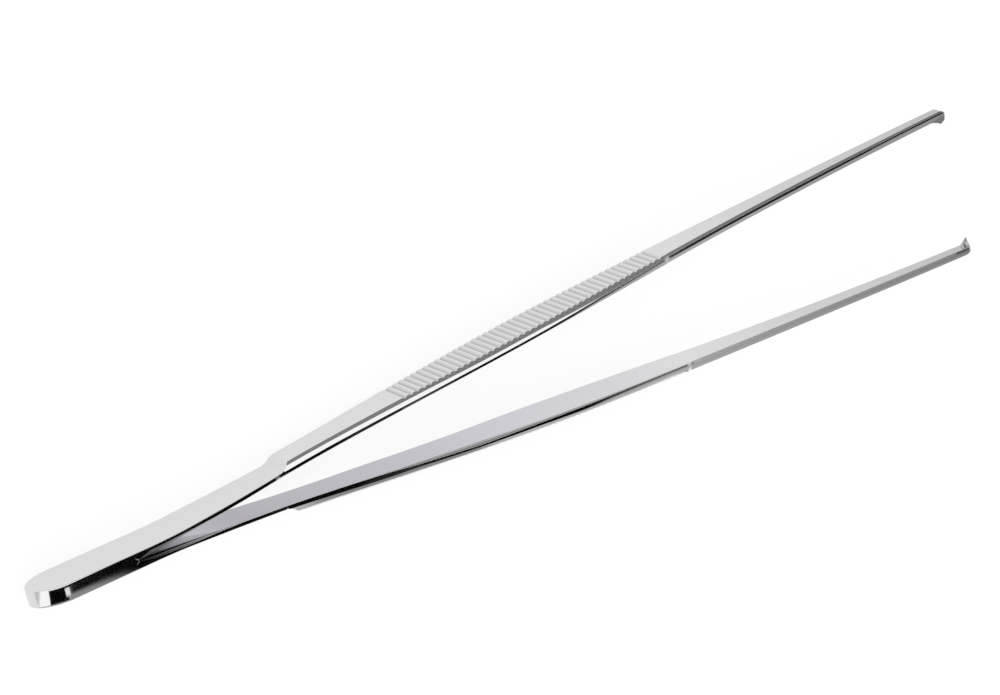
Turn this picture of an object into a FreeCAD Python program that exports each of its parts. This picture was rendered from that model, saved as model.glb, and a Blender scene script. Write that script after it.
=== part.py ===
# Toothed thumb forceps lying on its side: X runs from the butt to the tips, Y is the opening, Z is the width
import FreeCAD, Part
import os
import Sketcher
from FreeCAD import Vector

NODE = "thumb_forceps"

# Driving dimensions in millimetres; places along X are counted from the butt's end
SIZES = [
    ("length", 250.0, "whole length from butt to tips"),
    ("width", 11.2, "greatest width, at the butt and across the grip"),
    ("butt_round_length", 7.4, "length of the butt's rounded end"),
    ("butt_nose_radius", 4.2, "smaller radius of the butt's rounded end, at its very end"),
    ("butt_side_flat", 8.2, "length of the straight side behind the rounded butt end"),
    ("butt_end_thick", 4.0, "thickness of the closed butt at its end"),
    ("butt_heel_thick", 3.75, "thickness of the closed butt where the arms leave it"),
    ("butt_heel_x", 32.2, "place where the outer faces turn outwards"),
    ("butt_heel_blend", 5.0, "half the length over which the outer faces turn"),
    ("butt_side_bow", 0.375, "outward bow of the sides between the butt and the shoulder"),
    ("fork_x", 24.3, "place of the root of the gap between the arms"),
    ("fork_gap", 0.2, "width of the gap at its root"),
    ("shoulder_x", 61.7, "place of the foot of the shoulder"),
    ("shoulder_radius", 3.0, "radius ground at the foot of the shoulder"),
    ("shoulder_angle", 45.0, "slope of the shoulder in degrees"),
    ("spring_thick", 0.85, "thickness of the arm at the foot of the shoulder"),
    ("spring_lift", 3.3, "inner face above the middle plane at the shoulder"),
    ("spring_bow", 0.17, "inward bow of the spring part"),
    ("tip_lift", 16.3, "inner face above the middle plane at the tips"),
    ("arm_bow", 1.63, "outward bow of the arm from the shoulder to the tips"),
    ("panel_thick", 2.42, "thickness of the arm at the shoulder"),
    ("tip_thick", 1.9, "thickness of the arm at the tips"),
    ("shoulder_width", 8.2, "width at the shoulder"),
    ("panel_width", 9.3, "width of the plain panel"),
    ("grip_far_width", 10.1, "width near the far end of the grip"),
    ("jog_width", 8.3, "width where the grip ends"),
    ("distal_width", 6.5, "width behind the grip"),
    ("slender_width", 4.5, "width half way along the slender part"),
    ("tip_width", 3.0, "width at the tips"),
    ("wall_height", 0.75, "upright part of the panel's side"),
    ("wall_draft", 0.14, "lean of the panel's side above the upright part"),
    ("bevel_depth", 0.55, "bevel of the panel measured across the face"),
    ("bevel_height", 0.72, "bevel of the panel measured down the side"),
    ("distal_bevel_depth", 1.1, "bevel behind the grip measured across the face"),
    ("distal_bevel_height", 0.8, "bevel behind the grip measured down the side"),
    ("tip_bevel_depth", 0.7, "bevel at the tips measured across the face"),
    ("tip_bevel_height", 0.52, "bevel at the tips measured down the side"),
    ("inner_bevel", 0.32, "broken inner edge of the slender part"),
    ("groove_start", 95.4, "place of the first groove"),
    ("groove_pitch", 1.67, "distance from groove to groove"),
    ("groove_count", 43, "number of grooves on each arm"),
    ("groove_width", 1.15, "width of a groove at the face"),
    ("groove_depth", 0.36, "depth of a groove"),
    ("groove_margin", 1.9, "plain face between the last groove and the end of the grip"),
    ("jaw_length", 4.5, "length of the thickened jaw"),
    ("tooth_height", 1.4, "height of the paired teeth above the inner face"),
    ("tooth_hollow", 0.25, "hollow of the slope behind the paired teeth"),
    ("tooth_front", 0.4, "height of the paired teeth's foot at the front end"),
    ("tooth_root", 0.55, "depth to which the teeth are rooted in the arms"),
    ("tooth_offset", 0.95, "distance of each paired tooth from the middle"),
    ("tooth_back", 1.5, "distance of the paired teeth from the front end"),
    ("notch_depth", 0.85, "depth of the notch between the paired teeth"),
    ("fang_height", 2.1, "height of the single tooth above the inner face"),
    ("fang_length", 1.8, "length of the single tooth's foot"),
    ("fang_bulge", 0.15, "bulge of the single tooth's back"),
    ("fang_width", 1.6, "width of the single tooth's foot"),
    ("nose_length", 1.9, "length of the front end's rounding seen from the side"),
    ("nose_drop", 1.1, "height of the front end's rounding"),
    ("corner_radius", 0.8, "rounding of the front end seen from above"),
]

# Shares of the way along the panel and along the slender part, each with its width
PANEL_STATIONS = [
    (0.0, "S.shoulder_width"),
    (0.28, "S.panel_width"),
    (0.58, "S.width"),
    (0.83, "S.grip_far_width"),
    (1.0, "S.jog_width"),
]
SLENDER_STATIONS = [
    (0.0, "S.jog_width - 2 * S.wall_draft"),
    (0.19, "S.distal_width"),
    (0.55, "S.slender_width"),
    (1.0, "S.tip_width"),
]

# Formulas in cell names; AT stands for a place along X
RUN = "(S.length - S.shoulder_x)"
SHARE = f"((AT - S.shoulder_x) / {RUN})"
INNER = f"(S.spring_lift + (S.tip_lift - S.spring_lift) * {SHARE} + 4 * S.arm_bow * {SHARE} * (1 - {SHARE}))"
OUTER = f"({INNER} + S.panel_thick + (S.tip_thick - S.panel_thick) * {SHARE})"
SHOULDER_SLOPE = f"((S.tip_lift - S.spring_lift + 4 * S.arm_bow) / {RUN})"
GRIP_END = "(S.groove_start + (S.groove_count - 1) * S.groove_pitch + S.groove_margin)"
GRIP_MIDDLE = "(S.groove_start + (S.groove_count - 1) * S.groove_pitch / 2)"
BOW_RADIUS = f"({RUN} * {RUN} / (8 * S.arm_bow))"
FULL_LIFT = "(S.tip_lift + S.tip_thick + S.arm_bow + S.panel_thick)"

# Room by which a cutting outline passes the metal
CLEAR = "1"
# Share of a circle's radius by which its quarter arc stands off the chord
QUARTER = "(1 - sqrt(0.5))"

# The butt's rounded end: the nose's arc runs into a side arc of this radius, and they meet at this place
END_RADIUS = (
    "((pow(S.butt_round_length - S.butt_nose_radius; 2) + pow(S.width / 2; 2) - pow(S.butt_nose_radius; 2))"
    " / (S.width - 2 * S.butt_nose_radius))"
)
NOSE_SHARE = f"(S.butt_nose_radius / ({END_RADIUS} - S.butt_nose_radius))"
MEET_X = f"(S.butt_nose_radius - {NOSE_SHARE} * (S.butt_round_length - S.butt_nose_radius))"
MEET_Z = f"({NOSE_SHARE} * ({END_RADIUS} - S.width / 2))"


def full(formula):
    """The formula with the sheet's name in it."""
    return formula.replace("S.", "Sizes.")


def at(formula, place):
    """The formula for one place along X."""
    return formula.replace("AT", f"({place})")


def rise_of(radius, along, across):
    """How far an arc of that radius stands off its chord, which is given by its two extents."""
    return f"({radius} - sqrt(pow({radius}; 2) - (pow({along}; 2) + pow({across}; 2)) / 4))"


def station(share, start, end):
    """The place that lies the share of the way from start to end."""
    return f"({start} + {share} * ({end} - {start}))"


class Forceps:
    """The document with its sheet and the one body; sketches take every size from the sheet."""

    def __init__(self):
        self.doc = FreeCAD.newDocument("Forceps")
        self.sheet = self.doc.addObject("Spreadsheet::Sheet", "Sizes")
        for row, (name, value, note) in enumerate(SIZES, start=1):
            self.sheet.set(f"A{row}", name)
            self.sheet.set(f"B{row}", str(value))
            self.sheet.setAlias(f"B{row}", name)
            self.sheet.set(f"C{row}", note)
        self.doc.recompute()
        self.body = self.doc.addObject("PartDesign::Body", NODE)
        self.body.Label = NODE
        self.volume = 0.0

    def value(self, formula):
        """The number that a formula gives with the sheet as it is."""
        return float(self.sheet.evalExpression(formula.replace("S.", "")))

    def plane(self, role):
        """The body's own origin plane of that role."""
        return next(p for p in self.body.Origin.OriginFeatures if p.Role == role)

    def sketch(self, name, role, offsets=()):
        """A sketch on one of the body's planes, moved by formulas."""
        made = self.body.newObject("Sketcher::SketchObject", name)
        made.AttachmentSupport = (self.plane(role), [""])
        made.MapMode = "FlatFace"
        for field, formula in offsets:
            made.setExpression(f"AttachmentOffset.{field}", full(formula))
        made.Visibility = False
        return made

    def bind(self, made, constraint, formula):
        """Adds a sized constraint whose value follows the formula."""
        index = made.addConstraint(constraint)
        made.setExpression(f"Constraints[{index}]", full(formula))

    def outline(self, made, corners, arcs=None):
        """Draws a closed outline through corners; arcs gives a side's rise to the left of its chord."""
        arcs = arcs or {}
        points = [Vector(self.value(x), self.value(y), 0) for x, y in corners]
        sides = []
        for index, first in enumerate(points):
            last = points[(index + 1) % len(points)]
            if index in arcs:
                ends = (corners[index], corners[(index + 1) % len(corners)])
                sides.append(self.arc(made, first, last, arcs[index], ends))
            else:
                sides.append((made.addGeometry(Part.LineSegment(first, last), False), 1, 2))
        for index, (side, start, _) in enumerate(sides):
            before, _, end = sides[index - 1]
            made.addConstraint(Sketcher.Constraint("Coincident", before, end, side, start))
            for kind, formula in zip(("DistanceX", "DistanceY"), corners[index]):
                size = self.value(formula)
                self.bind(made, Sketcher.Constraint(kind, -1, 1, side, start, size), formula)

    def arc(self, made, first, last, rise, ends):
        """An arc between two corners whose radius follows from the chord and the rise."""
        chord = last - first
        left = Vector(-chord.y, chord.x, 0).normalize()
        curve = Part.Arc(first, (first + last) * 0.5 + left * self.value(rise), last)
        index = made.addGeometry(curve, False)
        (x0, y0), (x1, y1) = ends
        square = f"(pow(({x1}) - ({x0}); 2) + pow(({y1}) - ({y0}); 2))"
        radius = f"({square} / (8 * abs({rise})) + abs({rise}) / 2)"
        self.bind(made, Sketcher.Constraint("Radius", index, self.value(radius)), radius)
        forward = (made.getPoint(index, 1) - first).Length < (made.getPoint(index, 2) - first).Length
        return (index, 1, 2) if forward else (index, 2, 1)

    def extrude(self, kind, name, sketch, depth):
        """A pad or pocket to both sides of its sketch."""
        made = self.body.newObject(kind, name)
        made.Profile = sketch
        made.Midplane = True
        made.setExpression("Length", full(depth))
        self.settle(name, grows=kind.endswith("Pad"))
        return made

    def settle(self, name, grows):
        """Recomputes and makes sure that the step has changed the solid the right way."""
        self.doc.recompute()
        shape = self.body.Shape
        if shape.isNull() or not shape.isValid():
            raise RuntimeError(f"{name} leaves no valid shape")
        change = shape.Volume - self.volume
        if (change > 0) != grows:
            raise RuntimeError(f"{name} changes the volume by {change}")
        self.volume = shape.Volume


def add_butt_and_spring(part):
    """Half of the closed butt, blended into its thin spring arm, seen from the side."""
    side = part.sketch("SideProfile", "XY_Plane")
    run = "(S.shoulder_x - S.butt_heel_x)"
    rise = "(S.spring_lift + S.spring_thick - S.butt_heel_thick / 2)"
    butt_slope = "((S.butt_heel_thick - S.butt_end_thick) / (2 * S.butt_heel_x))"
    arm_slope = f"({rise} / {run} - 4 * S.spring_bow / {run})"
    corners = [
        ("0", "0"),
        ("S.fork_x", "0"),
        ("S.fork_x", "S.fork_gap / 2"),
        ("S.shoulder_x", "S.spring_lift"),
        ("S.shoulder_x", "S.spring_lift + S.spring_thick"),
        ("S.butt_heel_x + S.butt_heel_blend", f"S.butt_heel_thick / 2 + S.butt_heel_blend * {arm_slope}"),
        ("S.butt_heel_x - S.butt_heel_blend", f"S.butt_heel_thick / 2 - S.butt_heel_blend * {butt_slope}"),
        ("0", "S.butt_end_thick / 2"),
    ]
    rises = {
        2: "-S.spring_bow",
        4: f"S.spring_bow * pow(({run} - S.butt_heel_blend) / {run}; 2)",
        5: f"S.butt_heel_blend * ({arm_slope} - {butt_slope}) / 4",
    }
    part.outline(side, corners, rises)
    part.extrude("PartDesign::Pad", "ButtAndSpring", side, f"S.width + 2 * {CLEAR}")


def cut_butt_outline(part):
    """Rounds the butt's end and narrows the spring arm, seen from above."""
    plan = part.sketch("ButtOutline", "XZ_Plane")
    half = "S.width / 2"
    outside = f"(S.width / 2 + 2 * {CLEAR})"
    for sign in (1, -1):
        corners = [
            (f"-{CLEAR}", "0"),
            ("0", "0"),
            (MEET_X, f"{sign} * {MEET_Z}"),
            ("S.butt_round_length", f"{sign} * {half}"),
            ("S.butt_round_length + S.butt_side_flat", f"{sign} * {half}"),
            ("S.shoulder_x", f"{sign} * S.shoulder_width / 2"),
            (f"S.shoulder_x + {CLEAR}", f"{sign} * S.shoulder_width / 2"),
            (f"S.shoulder_x + {CLEAR}", f"{sign} * {outside}"),
            (f"-{CLEAR}", f"{sign} * {outside}"),
        ]
        end_rise = rise_of(END_RADIUS, f"(S.butt_round_length - {MEET_X})", f"({half} - {MEET_Z})")
        arcs = {
            1: f"{sign} * {rise_of('S.butt_nose_radius', MEET_X, MEET_Z)}",
            2: f"{sign} * {end_rise}",
            4: f"{sign} * S.butt_side_bow",
        }
        part.outline(plan, corners, arcs)
    part.extrude("PartDesign::Pocket", "ButtOutlineCut", plan, f"2 * {FULL_LIFT}")


def loft(part, name, stations, start, end, corners_at):
    """A loft through sections across X; corners_at gives a section's corners from its place and width."""
    sections = []
    for number, (share, width) in enumerate(stations, start=1):
        place = station(share, start, end)
        section = part.sketch(f"{name}Section{number}", "YZ_Plane", [("Base.z", place)])
        part.outline(section, corners_at(place, f"(({width}) / 2)", share))
        sections.append(section)
    made = part.body.newObject("PartDesign::AdditiveLoft", name)
    made.Profile = sections[0]
    made.Sections = sections[1:]
    part.settle(name, grows=True)


def mirrored_section(corners):
    """A section's corners from the inner face outwards, followed by the same on the other side."""
    return corners + [(y, f"-({z})") for y, z in reversed(corners)]


def panel_section(place, half, _share):
    """Flat inner and outer faces, an upright wall, a leaning wall and a bevel."""
    inner = at(INNER, place)
    outer = at(OUTER, place)
    return mirrored_section([
        (inner, half),
        (f"{inner} + S.wall_height", half),
        (f"{outer} - S.bevel_height", f"{half} - S.wall_draft"),
        (outer, f"{half} - S.wall_draft - S.bevel_depth"),
    ])


def slender_section(place, half, share):
    """Flat faces with a broken inner edge and a wide outer bevel that shrinks towards the tips."""
    inner = at(INNER, place)
    outer = at(OUTER, place)
    depth = f"(S.distal_bevel_depth + {share} * (S.tip_bevel_depth - S.distal_bevel_depth))"
    height = f"(S.distal_bevel_height + {share} * (S.tip_bevel_height - S.distal_bevel_height))"
    return mirrored_section([
        (inner, f"{half} - S.inner_bevel"),
        (f"{inner} + S.inner_bevel", half),
        (f"{outer} - {height}", half),
        (outer, f"{half} - {depth}"),
    ])


def cut_shoulder(part):
    """Grinds the panel's start down to the spring arm with a rounded foot."""
    foot_y = "(S.spring_lift + S.spring_thick)"
    low = f"atan({SHOULDER_SLOPE})"
    high = "(S.shoulder_angle * 1 deg)"
    bend_x = f"(S.shoulder_x + S.shoulder_radius * (sin({high}) - sin({low})))"
    bend_y = f"({foot_y} + S.shoulder_radius * (cos({low}) - cos({high})))"
    top = f"(S.spring_lift + S.panel_thick + {CLEAR})"
    corners = [
        ("S.shoulder_x", foot_y),
        (bend_x, bend_y),
        (f"{bend_x} + ({top} - {bend_y}) / tan({high})", top),
        ("S.shoulder_x", top),
    ]
    side = part.sketch("ShoulderProfile", "XY_Plane")
    part.outline(side, corners, {0: f"-S.shoulder_radius * (1 - cos(({high} - {low}) / 2))"})
    part.extrude("PartDesign::Pocket", "ShoulderCut", side, f"S.width + 2 * {CLEAR}")


def cut_grooves(part):
    """Cross grooves on the outer face, carried round the centre of the arm's bow."""
    middle = at(OUTER, GRIP_MIDDLE)
    slope = (
        f"((S.tip_lift - S.spring_lift + S.tip_thick - S.panel_thick"
        f" + 4 * S.arm_bow * (1 - 2 * {at(SHARE, GRIP_MIDDLE)})) / {RUN})"
    )
    step = f"(S.groove_pitch / {BOW_RADIUS} * 180 / pi)"
    offsets = [
        ("Base.x", f"{GRIP_MIDDLE} + {BOW_RADIUS} * sin(atan({slope}))"),
        ("Base.y", f"{middle} - {BOW_RADIUS} * cos(atan({slope}))"),
        ("Rotation.Angle", f"atan({slope}) + (S.groove_count - 1) / 2 * {step} * 1 deg"),
    ]
    groove = part.sketch("GrooveProfile", "XY_Plane", offsets)
    above = f"(S.groove_width / 2 * (1 + {CLEAR} / S.groove_depth))"
    corners = [
        ("0", f"{BOW_RADIUS} - S.groove_depth"),
        (above, f"{BOW_RADIUS} + {CLEAR}"),
        (f"-{above}", f"{BOW_RADIUS} + {CLEAR}"),
    ]
    part.outline(groove, corners)
    first = part.extrude("PartDesign::Pocket", "FirstGroove", groove, f"S.width + 2 * {CLEAR}")
    row = part.body.newObject("PartDesign::PolarPattern", "GrooveRow")
    row.Originals = [first]
    row.Axis = (groove, ["N_Axis"])
    row.Reversed = True
    row.setExpression("Angle", full(f"(S.groove_count - 1) * {step}"))
    row.setExpression("Occurrences", full("S.groove_count"))
    part.body.Tip = row
    part.settle("GrooveRow", grows=False)


def round_nose(part):
    """Rounds the front end of the arm, seen from the side and from above."""
    side = part.sketch("NoseProfile", "XY_Plane")
    edge = "(S.length - S.nose_length)"
    tip = "(S.tip_lift + S.tip_thick)"
    radius = "((pow(S.nose_length; 2) + pow(S.nose_drop; 2)) / (2 * S.nose_drop))"
    corners = [
        (edge, at(OUTER, edge)),
        ("S.length", f"{tip} - S.nose_drop"),
        (f"S.length + {CLEAR}", f"{tip} - S.nose_drop"),
        (f"S.length + {CLEAR}", f"{tip} + {CLEAR}"),
        (edge, f"{tip} + {CLEAR}"),
    ]
    part.outline(side, corners, {0: rise_of(radius, "S.nose_length", "S.nose_drop")})
    part.extrude("PartDesign::Pocket", "NoseCut", side, f"S.width + 2 * {CLEAR}")


def mirror_arm(part):
    """Makes the other half of the butt and the other arm."""
    both = part.body.newObject("PartDesign::Mirrored", "BothArms")
    both.TransformMode = "Whole shape"
    both.MirrorPlane = (part.plane("XZ_Plane"), [""])
    part.body.Tip = both
    part.settle("BothArms", grows=True)


def add_paired_teeth(part):
    """A thickened jaw with two pointed teeth and a notch between them on the +Y arm."""
    back = "(S.length - S.jaw_length)"
    crest = "(S.length - S.tooth_back)"
    low = "(S.tip_lift - S.tooth_height)"
    side = part.sketch("JawProfile", "XY_Plane")
    corners = [
        (back, f"{at(INNER, back)} + S.tooth_root"),
        (back, at(INNER, back)),
        (crest, low),
        ("S.length", "S.tip_lift - S.tooth_front"),
        ("S.length", "S.tip_lift + S.tooth_root"),
    ]
    part.outline(side, corners, {1: "S.tooth_hollow"})
    part.extrude("PartDesign::Pad", "Jaw", side, "S.tip_width")
    front = part.sketch("TeethProfile", "YZ_Plane", [("Base.z", back)])
    flare = f"({CLEAR} / 2)"
    part.outline(front, [
        (f"{low} + S.notch_depth", "0"),
        (f"{low} - {flare}", f"S.tooth_offset * (1 + {flare} / S.notch_depth)"),
        (f"{low} - {flare}", f"-S.tooth_offset * (1 + {flare} / S.notch_depth)"),
    ])
    for sign in (1, -1):
        lean = "((S.tip_width / 2 - S.tooth_offset) / S.tooth_height)"
        part.outline(front, [
            (f"{low} - {flare}", f"{sign} * (S.tooth_offset - {flare} * {lean})"),
            ("S.tip_lift", f"{sign} * S.tip_width / 2"),
            ("S.tip_lift", f"{sign} * (S.tip_width / 2 + {CLEAR})"),
            (f"{low} - {flare}", f"{sign} * (S.tip_width / 2 + {CLEAR})"),
        ])
    cut = part.body.newObject("PartDesign::Pocket", "TeethCut")
    cut.Profile = front
    cut.Reversed = True
    cut.setExpression("Length", full(f"S.jaw_length + {CLEAR}"))
    part.settle("TeethCut", grows=False)


def add_single_tooth(part):
    """One pointed tooth at the front end of the -Y arm, facing the notch."""
    back = "(S.length - S.fang_length)"
    apex = "-(S.tip_lift - S.fang_height)"
    side = part.sketch("FangProfile", "XY_Plane")
    part.outline(side, [
        (back, f"-({at(INNER, back)})"),
        ("S.length", apex),
        ("S.length", "-(S.tip_lift + S.tooth_root)"),
        (back, f"-({at(INNER, back)} + S.tooth_root)"),
    ], {0: "S.fang_bulge"})
    part.extrude("PartDesign::Pad", "Fang", side, "S.fang_width")
    front = part.sketch("FangFront", "YZ_Plane", [("Base.z", back)])
    for sign in (1, -1):
        part.outline(front, [
            (apex, "0"),
            ("-S.tip_lift", f"{sign} * S.fang_width / 2"),
            ("-S.tip_lift", f"{sign} * (S.fang_width / 2 + {CLEAR})"),
            (apex, f"{sign} * (S.fang_width / 2 + {CLEAR})"),
        ])
    cut = part.body.newObject("PartDesign::Pocket", "FangCut")
    cut.Profile = front
    cut.Reversed = True
    cut.setExpression("Length", full(f"S.fang_length + {CLEAR}"))
    part.settle("FangCut", grows=False)


def round_corners(part):
    """Rounds the corners of both tips, seen from above."""
    plan = part.sketch("CornerOutline", "XZ_Plane")
    edge = "(S.length - S.corner_radius)"
    half = "(S.tip_width / 2)"
    for sign in (1, -1):
        part.outline(plan, [
            (edge, f"{sign} * {half}"),
            ("S.length", f"{sign} * ({half} - S.corner_radius)"),
            (f"S.length + {CLEAR}", f"{sign} * ({half} - S.corner_radius)"),
            (f"S.length + {CLEAR}", f"{sign} * ({half} + {CLEAR})"),
            (edge, f"{sign} * ({half} + {CLEAR})"),
        ], {0: f"{sign} * S.corner_radius * {QUARTER}"})
    part.extrude("PartDesign::Pocket", "CornerCut", plan, f"2 * {FULL_LIFT}")


def check(part):
    """Stops if any object is in error or the solid is not one closed solid."""
    for thing in part.doc.Objects:
        if "Invalid" in thing.State or "Error" in thing.State:
            raise RuntimeError(f"{thing.Name} is {thing.State}")
    shape = part.body.Shape
    if shape.isNull() or not shape.isValid() or len(shape.Solids) != 1:
        raise RuntimeError("the forceps is not one valid solid")


def main():
    part = Forceps()
    add_butt_and_spring(part)
    cut_butt_outline(part)
    loft(part, "Panel", PANEL_STATIONS, "S.shoulder_x", GRIP_END, panel_section)
    cut_shoulder(part)
    cut_grooves(part)
    loft(part, "Slender", SLENDER_STATIONS, GRIP_END, "S.length", slender_section)
    round_nose(part)
    mirror_arm(part)
    add_paired_teeth(part)
    add_single_tooth(part)
    round_corners(part)
    part.body.setExpression("Placement.Base.x", full("-S.length / 2"))
    part.body.setExpression("Placement.Base.z", full("S.width / 2"))
    part.doc.recompute()
    check(part)
    os.makedirs("parts", exist_ok=True)
    part.body.Shape.exportStep(f"parts/{NODE}.step")
    box = part.body.Shape.BoundBox
    print(NODE, round(part.body.Shape.Volume, 2), "mm3", box)


main()
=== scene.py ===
import math
from collections import namedtuple

import bmesh
import bpy
import numpy as np
from bpy.props import FloatProperty, FloatVectorProperty, IntProperty, PointerProperty
from mathutils import Matrix, Vector


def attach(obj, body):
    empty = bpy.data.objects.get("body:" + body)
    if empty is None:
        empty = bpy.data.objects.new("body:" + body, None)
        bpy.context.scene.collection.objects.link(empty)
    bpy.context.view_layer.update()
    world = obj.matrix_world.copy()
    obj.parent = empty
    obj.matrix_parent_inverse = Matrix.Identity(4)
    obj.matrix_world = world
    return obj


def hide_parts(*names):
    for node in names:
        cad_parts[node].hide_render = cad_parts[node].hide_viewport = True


bl_info = {
    "name": "Toothed Thumb Forceps",
    "version": (1, 0, 0),
    "blender": (4, 5, 0),
    "location": "View3D > Sidebar > Forceps",
    "description": "Polished steel thumb forceps with grooved grips and toothed tips",
    "category": "Object",
}

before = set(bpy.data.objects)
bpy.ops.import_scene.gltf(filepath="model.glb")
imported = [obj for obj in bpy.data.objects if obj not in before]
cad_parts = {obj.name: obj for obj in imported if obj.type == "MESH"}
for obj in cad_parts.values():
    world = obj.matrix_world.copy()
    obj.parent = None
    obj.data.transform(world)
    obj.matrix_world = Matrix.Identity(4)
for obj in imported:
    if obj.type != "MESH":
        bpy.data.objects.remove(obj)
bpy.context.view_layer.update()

MM = 0.001
NODE = "thumb_forceps"


def length_mm(name, default, note):
    """A length in the panel, held in metres and given here in millimetres."""
    return FloatProperty(name=name, description=note, default=default * MM, unit="LENGTH", precision=5)


class ForcepsShape(bpy.types.PropertyGroup):
    """Sizes of the forceps; places along X are counted from the butt's end."""

    length: length_mm("Length", 250.0, "From the butt's end to the tips")
    width: length_mm("Width", 11.2, "Greatest width, at the butt and across the grip")
    butt_round_length: length_mm("Butt end length", 7.4, "Length of the butt's rounded end")
    butt_nose_radius: length_mm("Butt end radius", 4.2, "Smaller radius of the butt's rounded end")
    butt_side_flat: length_mm("Butt side", 8.2, "Straight side behind the rounded butt end")
    butt_end_thick: length_mm("Butt end thickness", 4.0, "Thickness of the closed butt at its end")
    butt_heel_thick: length_mm("Heel thickness", 3.75, "Thickness of the closed butt where the arms leave it")
    butt_heel_x: length_mm("Heel place", 32.2, "Where the outer faces turn outwards")
    butt_heel_blend: length_mm("Heel blend", 5.0, "Half the length over which the outer faces turn")
    butt_side_bow: length_mm("Side bow", 0.375, "Outward bow of the sides between butt and shoulder")
    fork_x: length_mm("Fork place", 24.3, "Root of the gap between the arms")
    fork_gap: length_mm("Fork gap", 0.2, "Width of the gap at its root")
    shoulder_x: length_mm("Shoulder place", 61.7, "Foot of the shoulder")
    shoulder_radius: length_mm("Shoulder radius", 3.0, "Radius ground at the foot of the shoulder")
    shoulder_angle: FloatProperty(name="Shoulder slope", description="Slope of the shoulder",
                                  default=math.radians(45.0), subtype="ANGLE")
    spring_thick: length_mm("Spring thickness", 0.85, "Thickness of the arm at the foot of the shoulder")
    spring_lift: length_mm("Spring lift", 3.3, "Inner face above the middle plane at the shoulder")
    spring_bow: length_mm("Spring bow", 0.17, "Inward bow of the spring part")
    tip_lift: length_mm("Tip lift", 16.3, "Inner face above the middle plane at the tips")
    arm_bow: length_mm("Arm bow", 1.63, "Outward bow from the shoulder to the tips")
    panel_thick: length_mm("Panel thickness", 2.42, "Thickness of the arm at the shoulder")
    tip_thick: length_mm("Tip thickness", 1.9, "Thickness of the arm at the tips")
    wall_draft: FloatProperty(name="Wall lean", description="Slope of the panel's side above its upright part",
                              default=0.14)
    butt_crown: length_mm("Butt crown", 0.09, "How far the butt's side bulges between its faces")
    edge_break: length_mm("Edge break", 0.09, "Rounding of the polished edges")
    groove_start: length_mm("First groove", 95.4, "Place of the first groove")
    groove_pitch: length_mm("Groove pitch", 1.67, "Distance from groove to groove")
    groove_count: IntProperty(name="Grooves", description="Number of grooves on each arm", default=43)
    groove_width: length_mm("Groove width", 1.15, "Width of a groove at the face")
    groove_depth: length_mm("Groove depth", 0.36, "Depth of a groove")
    groove_margin: length_mm("Groove margin", 1.9, "Plain face behind the last groove")
    jaw_length: length_mm("Jaw length", 4.5, "Length of the thickened jaw")
    tooth_height: length_mm("Tooth height", 1.4, "Paired teeth above the inner face")
    tooth_hollow: length_mm("Tooth hollow", 0.25, "Hollow of the slope behind the paired teeth")
    tooth_front: length_mm("Tooth front", 0.4, "Foot of the paired teeth at the front end")
    tooth_offset: length_mm("Tooth offset", 0.95, "Distance of each paired tooth from the middle")
    tooth_back: length_mm("Tooth back", 1.5, "Distance of the paired teeth from the front end")
    notch_depth: length_mm("Notch depth", 0.85, "Depth of the notch between the paired teeth")
    fang_height: length_mm("Single tooth height", 2.1, "Single tooth above the inner face")
    fang_length: length_mm("Single tooth length", 1.8, "Foot of the single tooth along the arm")
    fang_bulge: length_mm("Single tooth bulge", 0.15, "Bulge of the single tooth's back")
    fang_width: length_mm("Single tooth width", 1.6, "Foot of the single tooth across the arm")
    nose_length: length_mm("Nose length", 1.9, "Length of the front end's rounding seen from the side")
    nose_drop: length_mm("Nose drop", 1.1, "Height of the front end's rounding")
    corner_radius: length_mm("Corner radius", 0.8, "Rounding of the front end seen from above")


class SteelFinish(bpy.types.PropertyGroup):
    """Look of the polished steel."""

    colour: FloatVectorProperty(name="Steel colour", description="Colour that the steel gives to what it mirrors",
                                subtype="COLOR", min=0, max=1, default=(0.70, 0.70, 0.71))
    roughness: FloatProperty(name="Roughness", description="Softness of the mirrored light", subtype="FACTOR",
                             min=0, max=1, default=0.06)
    # Painted shade in the grooves, deepest at their foot
    groove_painted_shade: FloatProperty(name="Groove shade", subtype="FACTOR", min=0, max=1, default=0.3,
                                description="Share of its light that the foot of a groove swallows")
    # Painted shade on the teeth
    tooth_painted_shade: FloatProperty(name="Tooth shade", description="Share of their light that the teeth swallow",
                               subtype="FACTOR", min=0, max=1, default=0.35)
    grain_depth: length_mm("Grain depth", 0.0015, "Depth of the fine lengthwise grain")


class StudioStage(bpy.types.PropertyGroup):
    """Floor, lights and camera."""

    floor_colour: FloatVectorProperty(name="Floor colour", description="Colour of the plain floor",
                                      subtype="COLOR", min=0, max=1, default=(0.95, 0.95, 0.95))
    floor_size: FloatProperty(name="Floor size", description="Side of the square floor", default=6.0, unit="LENGTH")
    floor_glow: FloatProperty(name="Floor glow", description="Share of its light that the floor gives off itself",
                              subtype="FACTOR", min=0, max=1, default=0.83)
    sky_strength: FloatProperty(name="Sky strength", description="Brightness of the room's even light", default=1.25)
    tent: FloatProperty(name="Tent", description="Brightness of the tent in mirrors", default=1.3)
    near_side: FloatProperty(name="Near side", description="Brightness of the tent's near side in mirrors",
                             default=0.62)
    far_side: FloatProperty(name="Far side", description="Brightness of the tent's far side in mirrors", default=0.28)
    end_side: FloatProperty(name="End side", description="Brightness of the tent's end in mirrors", default=0.75)
    flag: FloatProperty(name="Flag", description="Brightness of the black flag in mirrors", default=0.0)
    lens: FloatProperty(name="Lens", description="Focal length of the camera", default=180.0, unit="CAMERA")


# Sizes above that aren't lengths
BARE_NUMBERS = ("groove_count", "shoulder_angle", "wall_draft")

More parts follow.
